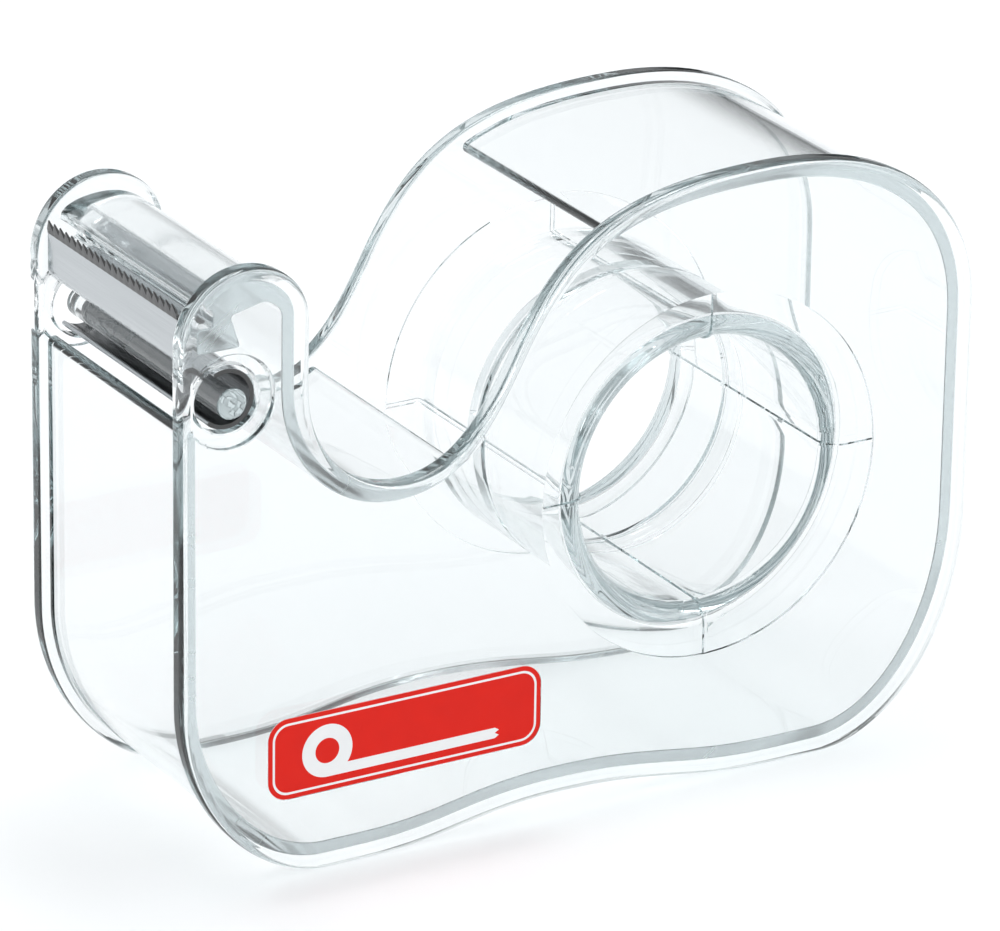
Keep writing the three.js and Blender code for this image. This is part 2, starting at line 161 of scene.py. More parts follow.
def wave(a, b, pull=0.45):
    """A gentle step between two level directions."""
    (ax, az), (bx, bz) = a, b
    return np.array([a, (ax + pull * (bx - ax), az), (bx - pull * (bx - ax), bz), b])


def outline_curves():
    """The whole side line, counter-clockwise from the crown of the back, as an array of cubic curves."""
    crown = np.array([CROWN_X, HEIGHT])
    throat = np.array([THROAT_X, THROAT_Z])
    up = crown - FLANK
    down = 0.39 * np.hypot(*(FLANK - throat))
    back_of_nose = (NOSE_REAR, THROAT_Z + 8.5)
    nose_shoulder = (NOSE_REAR, NOSE_TOP - 4.6)
    nose_top = (NOSE_TOP_X, NOSE_TOP)
    nose_front = (FRONT, NOSE_TOP - 5.6)
    front_low = (FRONT, 15.0)
    front_foot = [(FRONT_FOOT_X - FOOT / 2, 0.0), (FRONT_FOOT_X + FOOT / 2, 0.0)]
    rear_foot = [(REAR_FOOT_X - FOOT / 2, 0.0), (REAR_FOOT_X + FOOT / 2, 0.0)]
    arch = ((front_foot[1][0] + rear_foot[0][0]) / 2 - FOOT / 2, 1.7)
    rear_low, rear_high = (REAR, 18.0), (REAR, HEIGHT - 14.8)
    flank_in = FLANK + 0.36 * np.hypot(*up) * FLANK_SLOPE
    return np.array([
        [crown, crown - (0.6 * up[0], 0), flank_in, FLANK],
        [FLANK, FLANK - down * FLANK_SLOPE, throat + (down, 0), throat],
        bend(throat, back_of_nose, False),
        straight(back_of_nose, nose_shoulder),
        bend(nose_shoulder, nose_top, True),
        bend(nose_top, nose_front, False),
        straight(nose_front, front_low),
        bend(front_low, front_foot[0], True, 0.52),
        straight(*front_foot),
        wave(front_foot[1], arch),
        wave(arch, rear_foot[0]),
        straight(*rear_foot),
        bend(rear_foot[1], rear_low, False),
        straight(rear_low, rear_high),
        bend(rear_high, crown, True, 0.62),
    ])


CURVES = outline_curves()
CROWN_CURVE, THROAT_CURVE, NOSE_REAR_CURVE, FRONT_CURVE = 0, 1, 3, 6
print("outline:", len(CURVES), "curves")

# %% [markdown]
# Two things are asked of the outline again and again: points along it, pushed inwards by some depth, and
# the place where it crosses a given x or z. Both take whole arrays of positions at once.

# %% Points along the outline


def along(places, inset=0.0):
    """Points at places, where 3.25 is a quarter along curve 3, moved inwards.

    A point is the cubic blend of its curve's four control points, and inwards is the
    direction of travel turned a quarter to the left.
    """
    places = np.asarray(places, float)
    index = np.floor(places).astype(int)
    t = (places - index)[:, None]
    a, b, c, d = np.moveaxis(CURVES[index % len(CURVES)], 1, 0)
    s = 1 - t
    point = s**3 * a + 3 * s**2 * t * b + 3 * s * t**2 * c + t**3 * d
    travel = s**2 * (b - a) + 2 * s * t * (c - b) + t**2 * (d - c)
    travel /= np.linalg.norm(travel, axis=1, keepdims=True)
    return point + inset * np.stack([-travel[:, 1], travel[:, 0]], axis=1)


def crossing(curve, axis, value, fineness=4000):
    """The place on a curve whose x (axis 0) or z (axis 1) is nearest to value."""
    places = np.linspace(curve, curve + 1 - 1e-9, fineness)
    return places[np.argmin(np.abs(along(places)[:, axis] - value))]


def run(start, end, per_curve=26):
    """Evenly spread places from start to end, counter-clockwise, with every curve's ends among them."""
    if end < start:
        end += len(CURVES)
    joints = np.arange(np.ceil(start + 1e-6), end - 1e-6)
    stops = np.concatenate([[start], joints, [end]])
    parts = [np.linspace(a, b, per_curve, endpoint=False) for a, b in zip(stops[:-1], stops[1:])]
    return np.concatenate([*parts, [end - 1e-9]])


ROOF_EDGE = crossing(CROWN_CURVE, 0, HUB_X - 8.6)
WEB_END = crossing(THROAT_CURVE, 0, THROAT_X + 3.9)
FRONT_TOP = crossing(FRONT_CURVE, 1, HEIGHT - 12.8)
WHOLE = run(0, len(CURVES))[:-1]
print("roof edge, web end, front wall top:", np.round([ROOF_EDGE, WEB_END, FRONT_TOP], 2))

# %% [markdown]
# ## How a clear part is put together
#
# A clear moulding has to be one closed skin. Two solids pushed into each other would show their
# hidden walls inside the plastic, as glass does. So every part here is made of grids, which are bands
# swept along a closed line, and of flat faces filled between such lines. They meet on the very same
# points, and welding those points closes the skin.

# %% Bands, flat faces and the welded mesh


def band(rings):
    """A closed band through a stack of rings, each an array of points (count, 3)."""
    rings = np.asarray(rings, float)
    rows, count = rings.shape[:2]
    corner = np.arange(rows * count).reshape(rows, count)
    after = np.roll(corner, -1, axis=1)
    quads = np.stack([corner[:-1], after[:-1], after[1:], corner[1:]], axis=-1).reshape(-1, 4)
    return rings.reshape(-1, 3), quads.tolist(), True, 0


def face_between(rings, slot=0):
    """A flat face inside the first ring and outside the others, cut into triangles."""
    rings = [np.asarray(ring, float) for ring in rings]
    triangles = tessellate_polygon([[Vector(p) for p in ring] for ring in rings])
    return np.concatenate(rings), [list(t) for t in triangles], False, slot


def place(loop, y):
    """A side-view line of x and z, stood at one place across the dispenser."""
    loop = np.asarray(loop, float)
    return np.stack([loop[:, 0], np.full(len(loop), y), loop[:, 1]], axis=1)


def make_piece(name, parts, materials, matt=None, sharp=radians(32)):
    """Welds bands and faces into one mesh, turns its faces outwards and marks its sharp edges.

    Each part's slot picks its material or, when a matt list is given, how matt its skin is.
    """
    verts, faces, smooth, slots, start = [], [], [], [], 0
    for points, polygons, is_smooth, slot in parts:
        verts.append(points)
        faces.extend([[i + start for i in polygon] for polygon in polygons])
        smooth.extend([is_smooth] * len(polygons))
        slots.extend(np.broadcast_to(slot, len(polygons)).tolist())
        start += len(points)
    mesh = bpy.data.meshes.new(name)
    mesh.from_pydata(np.concatenate(verts) * MM, [], faces)
    mesh.polygons.foreach_set("use_smooth", smooth)
    if matt is None:
        mesh.polygons.foreach_set("material_index", slots)
    else:
        mesh.attributes.new("matt", "FLOAT", "FACE").data.foreach_set("value", np.array(matt)[slots])
    work = bmesh.new()
    work.from_mesh(mesh)
    bmesh.ops.remove_doubles(work, verts=work.verts, dist=2e-7)
    bmesh.ops.dissolve_degenerate(work, edges=work.edges, dist=1e-7)
    bmesh.ops.recalc_face_normals(work, faces=work.faces)
    open_edges = sum(len(edge.link_faces) != 2 for edge in work.edges)
    for edge in work.edges:
        if len(edge.link_faces) == 2 and edge.calc_face_angle() > sharp:
            edge.smooth = False
    volume = work.calc_volume() / MM**3
    work.to_mesh(mesh)
    work.free()
    for material in materials:
        mesh.materials.append(material)
    piece = bpy.data.objects.new(name, mesh)
    bpy.context.scene.collection.objects.link(piece)
    print(f"{name}: {len(mesh.polygons)} faces, {open_edges} open edges, {volume:.0f} cubic mm")
    return piece


# %% [markdown]
# Rounded rims come from moving a line inwards while it climbs. The next helpers give a quarter circle of
# such steps, find which way is inwards for any closed line, and round the corners of a drawn shape.
# A long flat stretch always ends in one extra ring, just short of where its rounding starts. Without it
# the smoothed shading would creep from the rounding over the whole flat, and clear plastic bends light by
# that shading, so the flat would look like a lens.

# %% Rounding helpers
QUARTER = np.linspace(0, pi / 2, 7)
HOLD = 0.03


def inwards(loop):
    """For each point of a counter-clockwise closed line, the unit direction to its left."""
    travel = np.roll(loop, -1, axis=0) - np.roll(loop, 1, axis=0)
    travel /= np.linalg.norm(travel, axis=1, keepdims=True)
    return np.stack([-travel[:, 1], travel[:, 0]], axis=1)


def rim(loop, y_side, y_face, radius):
    """Rings that climb from y_side to y_face and round over by radius: a quarter circle of insets."""
    loop = np.asarray(loop, float)
    left = inwards(loop)
    climb = np.sign(y_face - y_side)
    rings = [place(loop, y_side), place(loop, y_face - climb * (radius + HOLD))]
    for angle in QUARTER:
        inset = radius * (1 - cos(angle))
        rings.append(place(loop + inset * left, y_face - climb * radius * (1 - sin(angle))))
    return rings


def half_circle(a, b, steps=10):
    """Points between a and b on the half circle to the right of the way from a to b, without its ends."""
    middle, arm = (a + b) / 2, (a - b) / 2
    side = np.array([-arm[1], arm[0]])
    angle = np.linspace(0, pi, steps + 2)[1:-1, None]
    return middle + np.cos(angle) * arm + np.sin(angle) * side


def rounded_path(corners, radius, steps=7):
    """An open path through corners, each replaced by a small curve that starts radius before it.

    The curve is the blend (1-t)^2, 2t(1-t), t^2 of the point before, the corner and the point after.
    """
    corners = [np.array(c, float) for c in corners]
    t = np.linspace(0, 1, steps)[:, None]
    path = [corners[0][None]]
    for before, corner, after in zip(corners[:-2], corners[1:-1], corners[2:]):
        reach_in = min(radius, np.linalg.norm(before - corner) * 0.48)
        reach_out = min(radius, np.linalg.norm(after - corner) * 0.48)
        first = corner + reach_in * (before - corner) / np.linalg.norm(before - corner)
        last = corner + reach_out * (after - corner) / np.linalg.norm(after - corner)
        path.append((1 - t) ** 2 * first + 2 * t * (1 - t) * corner + t**2 * last)
    path.append(corners[-1][None])
    return np.concatenate(path)


def cubic(curve, steps=20):
    """Points on one cubic curve, with its two ends."""
    a, b, c, d = curve
    t = np.linspace(0, 1, steps)[:, None]
    s = 1 - t
    return s**3 * a + 3 * s**2 * t * b + 3 * s * t**2 * c + t**3 * d


print("a rim has", len(QUARTER) + 1, "rings")

# %% [markdown]
# ## Clear styrene
#
# Crystal styrene bends light more than window glass, with an index of 1.59, and it is almost colourless.
# What makes a moulding look real is that it is never quite flat: the melt freezes in slow ripples,
# and handling leaves faint hairlines. Both are patterns in object space. They are made once, as
# node groups with named inputs, because steel and print use them as well.

# %% Shared effects as node groups


def new_group(name, inputs, outputs):
    """An empty shader group with float inputs (name, value) and the named outputs (name, socket type)."""
    group = bpy.data.node_groups.new(name, "ShaderNodeTree")
    for label, value in inputs:
        socket = group.interface.new_socket(label, in_out="INPUT", socket_type="NodeSocketFloat")
        socket.default_value = value
    for label, kind in outputs:
        group.interface.new_socket(label, in_out="OUTPUT", socket_type=kind)
    group.nodes.new("NodeGroupInput").name = "in"
    group.nodes.new("NodeGroupOutput").name = "out"
    return group


def node(tree, kind, links=(), **settings):
    """Adds a node, sets its fields, and links or fills its inputs from (input, source) pairs."""
    made = tree.nodes.new(kind)
    for field, value in settings.items():
        setattr(made, field, value)
    for target, source in links:
        if isinstance(source, bpy.types.NodeSocket):
            tree.links.new(source, made.inputs[target])
        else:
            made.inputs[target].default_value = source
    return made


def ripple_group():
    """Slow ripples: smooth noise of one size, stretched along Y, plus a fainter one a third as wide."""
    group = new_group("moulded ripple", [("Size", 60.0), ("Stretch", 0.4)], [("Height", "NodeSocketFloat")])
    source, target = group.nodes["in"], group.nodes["out"]
    place_node = node(group, "ShaderNodeTexCoord")
    squeeze = node(group, "ShaderNodeCombineXYZ", [(0, 1.0), (1, source.outputs["Stretch"]), (2, 1.0)])
    stretched = node(group, "ShaderNodeVectorMath",
                     [(0, place_node.outputs["Object"]), (1, squeeze.outputs[0])], operation="MULTIPLY")
    broad = node(group, "ShaderNodeTexNoise",
                 [("Vector", stretched.outputs[0]), ("Scale", source.outputs["Size"]), ("Detail", 1.0)])
    finer = node(group, "ShaderNodeMath", [(0, source.outputs["Size"]), (1, 3.1)], operation="MULTIPLY")
    fine = node(group, "ShaderNodeTexNoise",
                [("Vector", stretched.outputs[0]), ("Scale", finer.outputs[0]), ("Detail", 1.0)])
    total = node(group, "ShaderNodeMath",
                 [(0, fine.outputs["Fac"]), (1, 0.22), (2, broad.outputs["Fac"])], operation="MULTIPLY_ADD")
    group.links.new(total.outputs[0], target.inputs["Height"])
    return group


def hairline_group():
    """Hairlines: thin bands where a stretched noise passes its middle, faded by a second noise."""
    group = new_group("handling hairlines", [("Size", 300.0), ("Turn", 0.6), ("Width", 0.02)],
                      [("Mask", "NodeSocketFloat")])
    source, target = group.nodes["in"], group.nodes["out"]
    place_node = node(group, "ShaderNodeTexCoord")
    turned = node(group, "ShaderNodeVectorRotate",
                  [("Vector", place_node.outputs["Object"]), ("Angle", source.outputs["Turn"])],
                  rotation_type="Y_AXIS")
    thin = node(group, "ShaderNodeVectorMath",
                [(0, turned.outputs[0]), (1, (0.08, 1.0, 1.0))], operation="MULTIPLY")
    lines = node(group, "ShaderNodeTexNoise",
                 [("Vector", thin.outputs[0]), ("Scale", source.outputs["Size"]), ("Detail", 0.0)])
    off = node(group, "ShaderNodeMath", [(0, lines.outputs["Fac"]), (1, 0.5)], operation="SUBTRACT")
    away = node(group, "ShaderNodeMath", [(0, off.outputs[0])], operation="ABSOLUTE")
    near = node(group, "ShaderNodeMath",
                [(0, away.outputs[0]), (1, source.outputs["Width"])], operation="LESS_THAN")
    patches = node(group, "ShaderNodeTexNoise",
                   [("Vector", place_node.outputs["Object"]), ("Scale", 140.0), ("Detail", 2.0)])
    faded = node(group, "ShaderNodeMapRange",
                 [("Value", patches.outputs["Fac"]), ("From Min", 0.52), ("From Max", 0.7)])
    mask = node(group, "ShaderNodeMath", [(0, near.outputs[0]), (1, faded.outputs[0])], operation="MULTIPLY")
    group.links.new(mask.outputs[0], target.inputs["Mask"])
    return group


RIPPLE = ripple_group()
HAIRLINE = hairline_group()
print("groups:", RIPPLE.name, "and", HAIRLINE.name)

# %% [markdown]
# The plastic itself is one Principled shader with full transmission. The melt swallows a little light,
# red most of all. A flat wall hides that, but along an edge the light has travelled the whole width of
# the dispenser, so edges look grey-green. A lamp's light should reach the table through the plastic,
# so rays that only ask for shadow meet a Transparent shader instead. Without it a clear object
# would throw a black shadow.

# %% Materials


def fresh(name):
    """A new material with an empty node tree, its shader and its output."""
    material = bpy.data.materials.new(name)
    material.use_nodes = True
    tree = material.node_tree
    tree.nodes.clear()
    shader = tree.nodes.new("ShaderNodeBsdfPrincipled")
    output = tree.nodes.new("ShaderNodeOutputMaterial")
    return material, tree, shader, output


def group_node(tree, group, **values):
    """A group placed in a material with its own values."""
    made = tree.nodes.new("ShaderNodeGroup")
    made.node_tree = group
    for label, value in values.items():
        made.inputs[label].default_value = value
    return made


def clear_styrene(name, ripple_size, ripple_depth):
    """Clear plastic: ripple size and depth say how wavy its skin froze.

    The mesh's own "matt" attribute adds roughness where the mould was left unpolished.
    """
    material, tree, shader, output = fresh(name)
    shader.inputs["Base Color"].default_value = (0.980, 0.984, 0.985, 1)
    shader.inputs["Transmission Weight"].default_value = 1.0
    shader.inputs["IOR"].default_value = 1.59
    ripple = group_node(tree, RIPPLE, Size=ripple_size, Stretch=0.5)
    scratch = group_node(tree, HAIRLINE, Size=420.0, Turn=0.7, Width=0.012)
    gloss = node(tree, "ShaderNodeMapRange",
                 [("Value", scratch.outputs["Mask"]), ("To Min", 0.004), ("To Max", 0.11)])
    matt = node(tree, "ShaderNodeAttribute", attribute_name="matt")
    rough = node(tree, "ShaderNodeMath", [(0, gloss.outputs[0]), (1, matt.outputs["Fac"])], operation="ADD")
    tree.links.new(rough.outputs[0], shader.inputs["Roughness"])
    skin = node(tree, "ShaderNodeBump",
                [("Height", ripple.outputs["Height"]), ("Strength", 1.0), ("Distance", ripple_depth)])
    tree.links.new(skin.outputs[0], shader.inputs["Normal"])
    path = node(tree, "ShaderNodeLightPath")
    through = node(tree, "ShaderNodeBsdfTransparent", [("Color", (0.99, 0.992, 0.992, 1))])
    blend = node(tree, "ShaderNodeMixShader", [(0, path.outputs["Is Shadow Ray"]),
                                               (1, shader.outputs[0]), (2, through.outputs[0])])
    tree.links.new(blend.outputs[0], output.inputs["Surface"])
    depth = node(tree, "ShaderNodeVolumeAbsorption",
                 [("Color", (0.932, 0.946, 0.948, 1)), ("Density", 290.0)])
    tree.links.new(depth.outputs[0], output.inputs["Volume"])
    return material


BODY_CLEAR = clear_styrene("clear_body", 55.0, 0.00002)
COVER_CLEAR = clear_styrene("clear_cover", 48.0, 0.00002)
ROD_CLEAR = clear_styrene("clear_rod", 160.0, 0.00003)
print("clear materials made")

# %% [markdown]
# Cutter steel is bright rolled strip. Rolling leaves fine lines along the strip, which runs across the
# dispenser, so the light smears at right angles to them. The lines are noise stretched a hundredfold
# along Y, and they drive both the roughness and a very shallow bump.

# %% Steel


def rolled_steel(name, dark, light):
    """Strip steel between two tones: stretched noise for the rolling lines, hairlines and ripples on top."""
    material, tree, shader, output = fresh(name)
    shader.inputs["Metallic"].default_value = 1.0
    where = node(tree, "ShaderNodeTexCoord")
    stretched = node(tree, "ShaderNodeVectorMath",
                     [(0, where.outputs["Object"]), (1, (1.0, 0.01, 1.0))], operation="MULTIPLY")
    lines = node(tree, "ShaderNodeTexNoise",
                 [("Vector", stretched.outputs[0]), ("Scale", 9000.0), ("Detail", 3.0)])
    scratch = group_node(tree, HAIRLINE, Size=700.0, Turn=0.2, Width=0.01)
    ripple = group_node(tree, RIPPLE, Size=90.0, Stretch=0.6)
    tone = node(tree, "ShaderNodeMix", [("Factor", lines.outputs["Fac"]), ("A", (*dark, 1)),
                                        ("B", (*light, 1))], data_type="RGBA")
    tree.links.new(tone.outputs["Result"], shader.inputs["Base Color"])
    sum_mask = node(tree, "ShaderNodeMath", [(0, scratch.outputs["Mask"]), (1, 0.5),
                                             (2, lines.outputs["Fac"])], operation="MULTIPLY_ADD")
    rough = node(tree, "ShaderNodeMapRange",
                 [("Value", sum_mask.outputs[0]), ("To Min", 0.10), ("To Max", 0.30)])
    tree.links.new(rough.outputs[0], shader.inputs["Roughness"])
    grain = node(tree, "ShaderNodeBump",
                 [("Height", lines.outputs["Fac"]), ("Strength", 0.25), ("Distance", 0.00001)])
    dents = node(tree, "ShaderNodeBump", [("Height", ripple.outputs["Height"]), ("Strength", 0.6),
                                          ("Distance", 0.00004), ("Normal", grain.outputs[0])])
    tree.links.new(dents.outputs[0], shader.inputs["Normal"])
    tree.links.new(shader.outputs[0], output.inputs["Surface"])
    return material


STEEL = rolled_steel("rolled_steel", (0.42, 0.44, 0.455), (0.60, 0.62, 0.635))
# A darker copy for the inside of the barrel: partly its duller rolled face, partly painted shade of the
# hollow barrel.
DULL_AND_SHADED_STEEL = rolled_steel("dull_and_shaded_steel", (0.10, 0.105, 0.11), (0.22, 0.225, 0.23))
# A near-black copy for the teeth and the sheet's sheared ends: a painted dark reflection.
PAINTED_DARK_STEEL = rolled_steel("painted_dark_steel", (0.035, 0.035, 0.035), (0.14, 0.14, 0.14))


def printed_ink(name, colour, deep):
    """Glossy ink on film: its colour drifts a little between two tones, under faint hairlines."""
    material, tree, shader, output = fresh(name)
    ripple = group_node(tree, RIPPLE, Size=420.0, Stretch=1.0)
    scratch = group_node(tree, HAIRLINE, Size=600.0, Turn=1.1, Width=0.01)
    tone = node(tree, "ShaderNodeMix", [("Factor", ripple.outputs["Height"]), ("A", (*colour, 1)),
                                        ("B", (*deep, 1))], data_type="RGBA")
    tree.links.new(tone.outputs["Result"], shader.inputs["Base Color"])
    gloss = node(tree, "ShaderNodeMapRange",
                 [("Value", scratch.outputs["Mask"]), ("To Min", 0.28), ("To Max", 0.5)])
    tree.links.new(gloss.outputs[0], shader.inputs["Roughness"])
    shader.inputs["Specular IOR Level"].default_value = 0.2
    tree.links.new(shader.outputs[0], output.inputs["Surface"])
    return material


RED_INK = printed_ink("red_ink", (0.74, 0.010, 0.002), (0.66, 0.008, 0.002))
WHITE_INK = printed_ink("white_ink", (0.86, 0.86, 0.86), (0.80, 0.81, 0.82))
print("steel and inks made")

# %% [markdown]
# ## The hub and the pivot holes
#
# Each plate opens into half of the hollow hub. A shallow step rings the mouth, the mouth rounds over into
# the sleeve, and four thin ribs run from the ring down the bore, a quarter turn apart. On the real
# part such ribs stiffen the mouth. All of it is one profile turned about the hub's axis. The ribs are
# the same profile lifted slightly where the turn passes them.

# %% Turning a profile about an axis across the dispenser


def rib_columns(per_quarter=30):
    """Angles for a turned shape with four ribs: even steps, with six close columns at each rib.

    Returns the angle of each column, its sideways shift in millimetres and how high the rib is there.
    """
    shifts = np.array([-1.5, -1.0, -0.6, 0.6, 1.0, 1.5]) * RIB_HALF
    heights = np.array([0.0, 0.15, 1.0, 1.0, 0.15, 0.0])
    between = np.linspace(0, pi / 2, per_quarter + 2)[2:-2]
    angle, shift, height = [], [], []
    for quarter in np.arange(4) * pi / 2:
        angle += [np.full(6, quarter), quarter + between]
        shift += [shifts, np.zeros(len(between))]
        height += [heights, np.zeros(len(between))]
    return np.concatenate(angle), np.concatenate(shift), np.concatenate(height)


def turned(profile, face, inward, columns, lift=None):
    """Rings of a profile of (radius, depth) about the hub's axis.

    Each point sits at radius times cosine and sine of its angle, and lift moves it by the rib's height.
    """
    angle, shift, height = columns
    rings = []
    for i, (radius, depth) in enumerate(profile):
        lift_r, lift_d = (0.0, 0.0) if lift is None else lift[i]
        r = radius + lift_r * height * RIB_HEIGHT
        d = depth + lift_d * height * RIB_HEIGHT
        theta = angle + shift / radius
        rings.append(np.stack([HUB_X + r * np.cos(theta), face + inward * d,
                               HUB_Z + r * np.sin(theta)], axis=1))
    return rings


def mouth_profile():
    """Ring, step, flat ring floor and the quarter-round mouth, with the direction ribs rise in."""
    points = [(RING, 0.0), (RING - 0.03, STEP * 0.9), (RING - 0.08, STEP), (BORE + MOUTH, STEP)]
    lifts = [(0, 0), (0, 0), (0, -1), (0, -1)]
    for angle in np.linspace(0, pi / 2, 12)[1:]:
        points.append((BORE + MOUTH * (1 - sin(angle)), STEP + MOUTH * (1 - cos(angle))))
        lifts.append((-sin(angle), -cos(angle)))
    points.append((BORE, STEP + MOUTH + HOLD))
    lifts.append((-1, 0))
    return points, lifts


SLEEVE_FILLET = 0.3


def sleeve_root():
    """The sleeve's outer foot: a small fillet from its side to the plate, a quarter circle."""
    fillet = [(SLEEVE + SLEEVE_FILLET * (1 - cos(a)), PLATE + SLEEVE_FILLET * (1 - sin(a))) for a in QUARTER]
    return [(SLEEVE, PLATE + SLEEVE_FILLET + HOLD), *fillet]


COLUMNS = rib_columns()
print("turned shapes have", len(COLUMNS[0]), "columns")

# %% [markdown]
# The two sleeves meet off the middle: the cover's is longer and ends in a thin spigot, which pushes into
# a socket in the body's shorter one. That snap is what holds the halves together through the roll.

# %% Hub halves and pivot holes


def cover_hub():
    """The cover's mouth, long sleeve and spigot, from the ring on its face to its inner face."""
    points, lifts = mouth_profile()
    end = SLEEVE_JOINT + SPIGOT_LENGTH
    points += [(BORE, end - EDGE), (BORE + EDGE, end), (SPIGOT - EDGE, end), (SPIGOT, end - EDGE)]
    lifts += [(-1, 0), (0, 0), (0, 0), (0, 0)]
    points += [(SPIGOT, SLEEVE_JOINT), (SLEEVE - EDGE, SLEEVE_JOINT), (SLEEVE, SLEEVE_JOINT - EDGE)]
    points += sleeve_root()
    lifts += [(0, 0)] * (len(points) - len(lifts))
    return turned(points, COVER_FACE, 1, COLUMNS, lifts)


def body_hub():
    """The body's mouth and short sleeve, whose end is hollowed to take the spigot."""
    points, lifts = mouth_profile()
    end = FAR_FACE - COVER_FACE - SLEEVE_JOINT - SHELL_GAP
    shelf = end - SPIGOT_LENGTH
    socket = SPIGOT + SHELL_GAP
    points += [(BORE, shelf), (socket, shelf), (socket, end - EDGE), (socket + EDGE, end)]
    points += [(SLEEVE - EDGE, end), (SLEEVE, end - EDGE)]
    points += sleeve_root()
    lifts += [(-1, 0)] + [(0, 0)] * (len(points) - len(lifts) - 1)
    return turned(points, FAR_FACE, -1, COLUMNS, lifts)


PIVOT_HOLE = 2.6
PIVOT_SINK = 3.6
SINK_DEPTH = 0.6
SINK_EASE = 0.08
RIM_CLEAR = 0.1


def pivot_hole(face, inward, count=96):
    """A stepped round hole; its sunk ring is cut straight where it would run into the front rim."""
    angle = np.linspace(0, 2 * pi, count, endpoint=False)
    steps = [(PIVOT_SINK + SINK_EASE, 0.0), (PIVOT_SINK, SINK_EASE), (PIVOT_SINK, SINK_DEPTH - 0.1),
             (PIVOT_SINK - 0.1, SINK_DEPTH), (PIVOT_HOLE + EDGE, SINK_DEPTH),
             (PIVOT_HOLE, SINK_DEPTH + EDGE), (PIVOT_HOLE, PLATE - EDGE), (PIVOT_HOLE + EDGE, PLATE)]
    rings = []
    for radius, depth in steps:
        flat = FRONT + RIM_OUT + RIM_CLEAR + 0.2 * (PIVOT_SINK - radius)
        x = np.maximum(PIVOT_X + radius * np.cos(angle), flat)
        rings.append(np.stack([x, np.full(count, face + inward * depth),
                               PIVOT_Z + radius * np.sin(angle)], axis=1))
    return rings


print("hub and pivot profiles ready")

# %% [markdown]
# ## The side plates
#
# A plate is its rim swept round the outline, with two flat faces inside it. The holes above are
# left open in those faces and filled by their own bands.

# %% A side plate with its rounded rim


def plate_rims(face, inward):
    """Rings over a plate's edge, from its outer face round to its inner face."""
    edge = along(WHOLE)
    rings = []
    for angle in QUARTER[::-1]:
        inset, depth = RIM_OUT * (1 - cos(angle)), RIM_OUT * (1 - sin(angle))
        rings.append(place(along(WHOLE, inset), face + inward * depth))
    rings.append(place(edge, face + inward * (RIM_OUT + HOLD)))
    rings.append(place(edge, face + inward * (PLATE - RIM_IN - HOLD)))
    for angle in QUARTER:
        inset, depth = RIM_IN * (1 - cos(angle)), PLATE - RIM_IN * (1 - sin(angle))
        rings.append(place(along(WHOLE, inset), face + inward * depth))
    return rings


def plate_parts(face, inward, hub, face_holes=(), inner_holes=()):
    """All bands and faces of one plate with its hub half; extra holes are left for what joins it."""
    rims = plate_rims(face, inward)
    pivot = pivot_hole(face, inward)
    return [band(rims), band(hub), band(pivot),
            face_between([rims[0], hub[0], pivot[0], *face_holes]),
            face_between([rims[-1], hub[-1], pivot[-1], *inner_holes])]


print("plate rim rings:", len(plate_rims(FAR_FACE, -1)))

# %% [markdown]
# ## The walls between the plates
#
# The wall is a millimetre thick and follows the outline a little inside the plates' edge. One stretch
# runs from the top of the front wall, under the feet and up the back to the roof's edge. The other
# starts as a web under the finger gap and climbs the nose, where it thickens into the tape guide.
# Behind the guide's lip a slot takes the tab of the steel cutter.

# %% Wall lines


def wall_line():
    """The long wall as a closed line: outer side, round end, inner side back, round end."""
    places = run(FRONT_TOP, ROOF_EDGE)
    outer = along(places, WALL_INSET)
    inner = along(places, WALL_INSET + WALL)[::-1]
    return np.concatenate([outer, half_circle(outer[-1], inner[0]), inner, half_circle(inner[-1], outer[0])])


LIP_X = FRONT + 1.9
SLOT_FLOOR = PIVOT_Z + 5.4
SLOT_ROOF = SLOT_FLOOR + 1.4
SLOT_END = LIP_X + 1.3
LEG_FOOT = PIVOT_Z + 3.5
LEG_REAR = LIP_X + 3.0
GUIDE_TOP = NOSE_TOP - 1.3
GUIDE_WALL = 1.9
LIP_DROP = 0.35
GUIDE_EASE = 0.35


def nose_line():
    """The finger web, the back of the nose and the tape guide as one closed line."""
    places = run(WEB_END, NOSE_REAR_CURVE + 1)
    outer = along(places, WALL_INSET)
    inner = along(places, WALL_INSET + WALL)[::-1]
    top = (NOSE_TOP_X, GUIDE_TOP)
    lip = (LIP_X, SLOT_ROOF + LIP_DROP)
    over = cubic(bend(outer[-1], top, True))[1:]
    down = cubic(bend(top, lip, False))[1:-1]
    inside = (NOSE_TOP_X + GUIDE_WALL - 0.2, GUIDE_TOP - GUIDE_WALL)
    front = rounded_path([down[-1], (LIP_X, SLOT_ROOF), (SLOT_END, SLOT_ROOF), (SLOT_END, SLOT_FLOOR),
                          (LIP_X, SLOT_FLOOR), (LIP_X, LEG_FOOT), (LEG_REAR + 0.5, LEG_FOOT),
                          (LEG_REAR - 0.3, GUIDE_TOP - GUIDE_WALL - 0.6), inside], GUIDE_EASE)
    under = cubic(bend(inside, inner[0], False))[1:-1]
    return np.concatenate([outer, over, down[:-1], front, under, inner, half_circle(inner[-1], outer[0])])


def wall_parts(line, root, end, skins=0):
    """A wall's swept sides with a small round at its free edge, and the flat edge itself.

    skins says which skin each stretch of the line has: 0 polished, 1 matt or 2 brushed.
    """
    rings = rim(line, root, end, EDGE)
    points, quads, smooth, _ = band(rings)
    sides = (points, quads, smooth, np.tile(np.broadcast_to(skins, len(line)), len(rings) - 1))
    return rings[0], [sides, face_between([rings[-1]], 1)]


print("wall line:", len(wall_line()), "points; nose line:", len(nose_line()), "points")

